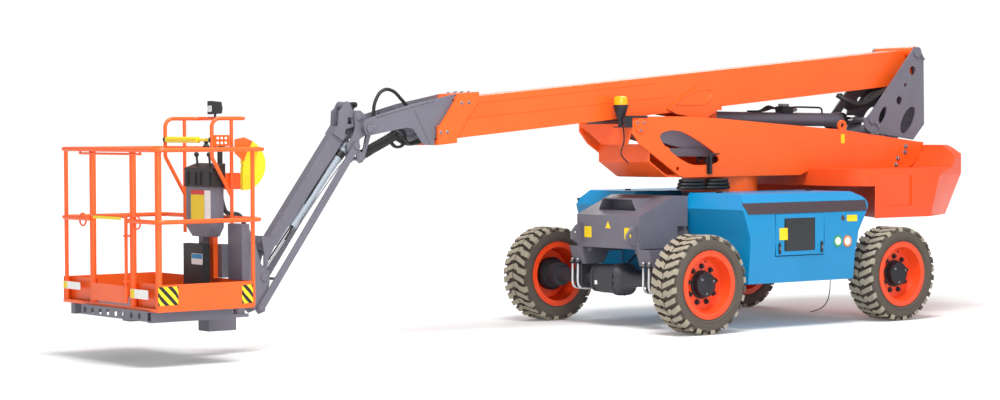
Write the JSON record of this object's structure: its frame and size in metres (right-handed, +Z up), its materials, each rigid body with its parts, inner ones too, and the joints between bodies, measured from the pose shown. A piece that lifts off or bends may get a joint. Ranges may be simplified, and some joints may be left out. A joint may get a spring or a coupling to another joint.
{
  "type": "self-propelled boom lift",
  "caption": "Wheeled boom lift: chassis with side pods, turning turret with counterweight, riser with upright, telescopic boom, parallelogram jib and railed work platform.",
  "frame": {"origin": "on the ground, under the middle of the machine as it stands stowed", "axes": "+Z up, -X towards the work platform, +X towards the counterweight, -Y the side with the ground controls"},
  "size_m": [8.8399, 2.355, 2.5558],
  "materials": {
    "base_boom": "gloss paint",
    "battery_block": "gloss paint",
    "beacon_base": "gloss paint",
    "beacon_lens": "clear",
    "chassis_frame": "gloss paint",
    "console": "satin",
    "counterweight": "gloss paint",
    "crash_bar": "gloss paint",
    "drag_strap": "matt",
    "drive_axle": "gloss paint",
    "end_cover": "gloss paint",
    "engine_block": "gloss paint",
    "fly_boom": "gloss paint",
    "foot_box": "satin",
    "gate": "gloss paint",
    "ground_controls": "satin",
    "guard_rails": "gloss paint",
    "jib_arm": "gloss paint",
    "jib_barrel": "gloss paint",
    "jib_carrier": "gloss paint",
    "jib_link": "gloss paint",
    "jib_rod": "polished",
    "knuckle": "gloss paint",
    "lift_barrel": "gloss paint",
    "lift_rod": "polished",
    "nose_head": "gloss paint",
    "panel_door": "satin",
    "panel_window": "clear",
    "pedestal": "gloss paint",
    "platform_floor": "gloss paint",
    "platform_support": "gloss paint",
    "pod_far": "gloss",
    "pod_near": "gloss",
    "reel_guard": "gloss paint",
    "rim_drive_far": "gloss paint",
    "rim_drive_near": "gloss paint",
    "rim_steer_far": "gloss paint",
    "rim_steer_near": "gloss paint",
    "riser_arm": "gloss paint",
    "riser_barrel": "gloss paint",
    "riser_link": "gloss paint",
    "riser_rod": "polished",
    "side_box": "gloss paint",
    "slew_ring": "gloss paint",
    "steer_axle": "gloss paint",
    "steer_knuckle_far": "gloss paint",
    "steer_knuckle_near": "gloss paint",
    "steer_rod": "polished",
    "step_channel": "gloss paint",
    "toe_boards": "gloss paint",
    "turret_frame": "gloss paint",
    "tyre_drive_far": "ribbed natural rubber",
    "tyre_drive_near": "ribbed natural rubber",
    "tyre_steer_far": "ribbed natural rubber",
    "tyre_steer_near": "ribbed natural rubber",
    "upright": "gloss paint",
    "work_lamp": "satin"
  },
  "bodies": {
    "chassis": {"chassis_frame": "chassis_frame", "pod_near": "pod_near", "pod_far": "pod_far", "end_cover": "end_cover", "drive_axle": "drive_axle", "steer_axle": "steer_axle", "slew_ring": "slew_ring", "engine_block": "engine_block", "battery_block": "battery_block", "ground_controls": "ground_controls", "drag_strap": "drag_strap"},
    "panel_door": {"panel_door": "panel_door", "panel_window": "panel_window"},
    "turret": {"turret_frame": "turret_frame", "counterweight": "counterweight", "side_box": "side_box", "beacon_base": "beacon_base", "beacon_lens": "beacon_lens"},
    "riser": {"riser_arm": "riser_arm"},
    "riser_link": {"riser_link": "riser_link"},
    "upright": {"upright": "upright"},
    "riser_barrel": {"riser_barrel": "riser_barrel"},
    "riser_rod": {"riser_rod": "riser_rod"},
    "boom": {"base_boom": "base_boom"},
    "lift_barrel": {"lift_barrel": "lift_barrel"},
    "lift_rod": {"lift_rod": "lift_rod"},
    "fly": {"fly_boom": "fly_boom", "nose_head": "nose_head"},
    "knuckle": {"knuckle": "knuckle"},
    "jib": {"jib_arm": "jib_arm"},
    "jib_link": {"jib_link": "jib_link"},
    "jib_barrel": {"jib_barrel": "jib_barrel"},
    "jib_rod": {"jib_rod": "jib_rod"},
    "carrier": {"jib_carrier": "jib_carrier"},
    "platform": {"platform_support": "platform_support", "platform_floor": "platform_floor", "guard_rails": "guard_rails", "toe_boards": "toe_boards", "step_channel": "step_channel", "crash_bar": "crash_bar", "work_lamp": "work_lamp", "console": "console", "pedestal": "pedestal", "foot_box": "foot_box", "reel_guard": "reel_guard"},
    "gate": {"gate": "gate"},
    "steer_knuckle_near": {"steer_knuckle_near": "steer_knuckle_near"},
    "steer_knuckle_far": {"steer_knuckle_far": "steer_knuckle_far"},
    "steer_rod": {"steer_rod": "steer_rod"},
    "wheel_drive_near": {"tyre_drive_near": "tyre_drive_near", "rim_drive_near": "rim_drive_near"},
    "wheel_drive_far": {"tyre_drive_far": "tyre_drive_far", "rim_drive_far": "rim_drive_far"},
    "wheel_steer_near": {"tyre_steer_near": "tyre_steer_near", "rim_steer_near": "rim_steer_near"},
    "wheel_steer_far": {"tyre_steer_far": "tyre_steer_far", "rim_steer_far": "rim_steer_far"}
  },
  "joints": [
    {"name": "slew", "type": "hinge", "parent": "chassis", "child": "turret", "pos_m": [1.9525, 0, 1.19], "axis": [0, 0, 1], "continuous": true},
    {"name": "riser_lift", "type": "hinge", "parent": "turret", "child": "riser", "pos_m": [0.6645, 0, 1.8], "axis": [0, -1, 0], "range_deg": [0, 60]},
    {"name": "riser_link_swing", "type": "hinge", "parent": "turret", "child": "riser_link", "pos_m": [0.9745, 0, 1.56], "axis": [0, -1, 0], "range_deg": [0, 60]},
    {"name": "upright_level", "type": "hinge", "parent": "riser", "child": "upright", "pos_m": [3.7025, 0, 1.74], "axis": [0, -1, 0], "range_deg": [-60, 0]},
    {"name": "riser_barrel_swing", "type": "hinge", "parent": "turret", "child": "riser_barrel", "pos_m": [3.1525, 0, 1.432], "axis": [0, 1, 0], "range_deg": [0, 32.73]},
    {"name": "riser_rod_slide", "type": "slide", "parent": "riser_barrel", "child": "riser_rod", "axis": [-0.9995, 0, 0.0328], "range_m": [0, 0.62247]},
    {"name": "boom_lift", "type": "hinge", "parent": "upright", "child": "boom", "pos_m": [4.3125, 0, 2.5], "axis": [0, 1, 0], "range_deg": [0, 80]},
    {"name": "lift_rod_swing", "type": "hinge", "parent": "upright", "child": "lift_rod", "pos_m": [3.6825, 0, 1.842], "axis": [0, 1, 0], "range_deg": [0, 81.2]},
    {"name": "lift_barrel_slide", "type": "slide", "parent": "lift_rod", "child": "lift_barrel", "axis": [-0.9999, 0, 0.0105], "range_m": [0, 1.17002]},
    {"name": "telescope", "type": "slide", "parent": "boom", "child": "fly", "axis": [-0.996, 0, -0.0898], "range_m": [0, 3.6]},
    {"name": "knuckle_level", "type": "hinge", "parent": "fly", "child": "knuckle", "pos_m": [-2.0625, 0, 1.78], "axis": [0, 1, 0], "range_deg": [-80, 0]},
    {"name": "jib_lift", "type": "hinge", "parent": "knuckle", "child": "jib", "pos_m": [-2.1275, 0, 1.88], "axis": [0, 1, 0], "range_deg": [0, 120]},
    {"name": "jib_link_swing", "type": "hinge", "parent": "knuckle", "child": "jib_link", "pos_m": [-2.1685, 0, 1.638], "axis": [0, 1, 0], "range_deg": [0, 120]},
    {"name": "carrier_level", "type": "hinge", "parent": "jib", "child": "carrier", "pos_m": [-3.0495, 0, 0.602], "axis": [0, 1, 0], "range_deg": [-120, 0]},
    {"name": "jib_barrel_swing", "type": "hinge", "parent": "knuckle", "child": "jib_barrel", "pos_m": [-2.2125, 0, 1.634], "axis": [0, 1, 0], "range_deg": [0, 122.53]},
    {"name": "jib_rod_slide", "type": "slide", "parent": "jib_barrel", "child": "jib_rod", "axis": [-0.6299, 0, -0.7767], "range_m": [0, 0.44566]},
    {"name": "platform_rotate", "type": "hinge", "parent": "carrier", "child": "platform", "pos_m": [-3.2375, 0, 0.4], "axis": [0, 0, 1], "range_deg": [-80, 80]},
    {"name": "gate_swing", "type": "hinge", "parent": "platform", "child": "gate", "pos_m": [-4.4005, -0.29, 1], "axis": [0, 0, -1], "range_deg": [0, 88]},
    {"name": "panel_open", "type": "hinge", "parent": "chassis", "child": "panel_door", "pos_m": [1.8575, -1.152, 1.007], "axis": [-1, 0, 0], "range_deg": [0, 100]},
    {"name": "wheel_drive_near_roll", "type": "hinge", "parent": "chassis", "child": "wheel_drive_near", "pos_m": [0.7575, -1.0275, 0.43], "axis": [0, 1, 0], "continuous": true},
    {"name": "wheel_drive_far_roll", "type": "hinge", "parent": "chassis", "child": "wheel_drive_far", "pos_m": [0.7575, 1.0275, 0.43], "axis": [0, 1, 0], "continuous": true},
    {"name": "steer_near", "type": "hinge", "parent": "chassis", "child": "steer_knuckle_near", "pos_m": [3.1475, -0.85, 0.43], "axis": [0, 0, 1], "range_deg": [-30, 30]},
    {"name": "wheel_steer_near_roll", "type": "hinge", "parent": "steer_knuckle_near", "child": "wheel_steer_near", "pos_m": [3.1475, -1.0275, 0.43], "axis": [0, 1, 0], "continuous": true},
    {"name": "steer_far", "type": "hinge", "parent": "chassis", "child": "steer_knuckle_far", "pos_m": [3.1475, 0.85, 0.43], "axis": [0, 0, 1], "range_deg": [-30, 30]},
    {"name": "wheel_steer_far_roll", "type": "hinge", "parent": "steer_knuckle_far", "child": "wheel_steer_far", "pos_m": [3.1475, 1.0275, 0.43], "axis": [0, 1, 0], "continuous": true},
    {"name": "steer_rod_slide", "type": "slide", "parent": "chassis", "child": "steer_rod", "axis": [0, -1, 0], "range_m": [-0.065, 0.065]}
  ],
  "couplings": [
    {"joint": "riser_link_swing", "follows": "riser_lift", "ratio": 1},
    {"joint": "upright_level", "follows": "riser_lift", "ratio": -1},
    {"joint": "riser_barrel_swing", "follows": "riser_lift", "ratio": 0.54551},
    {"joint": "riser_rod_slide", "follows": "riser_lift", "m_per_rad": 0.59441},
    {"joint": "lift_rod_swing", "follows": "boom_lift", "ratio": 1.015},
    {"joint": "lift_barrel_slide", "follows": "boom_lift", "m_per_rad": 0.83797},
    {"joint": "knuckle_level", "follows": "boom_lift", "ratio": -1},
    {"joint": "jib_link_swing", "follows": "jib_lift", "ratio": 1},
    {"joint": "carrier_level", "follows": "jib_lift", "ratio": -1},
    {"joint": "jib_barrel_swing", "follows": "jib_lift", "ratio": 1.0211},
    {"joint": "jib_rod_slide", "follows": "jib_lift", "m_per_rad": 0.21279},
    {"joint": "steer_far", "follows": "steer_near", "ratio": 1},
    {"joint": "steer_rod_slide", "follows": "steer_near", "m_per_rad": 0.12414}
  ]
}
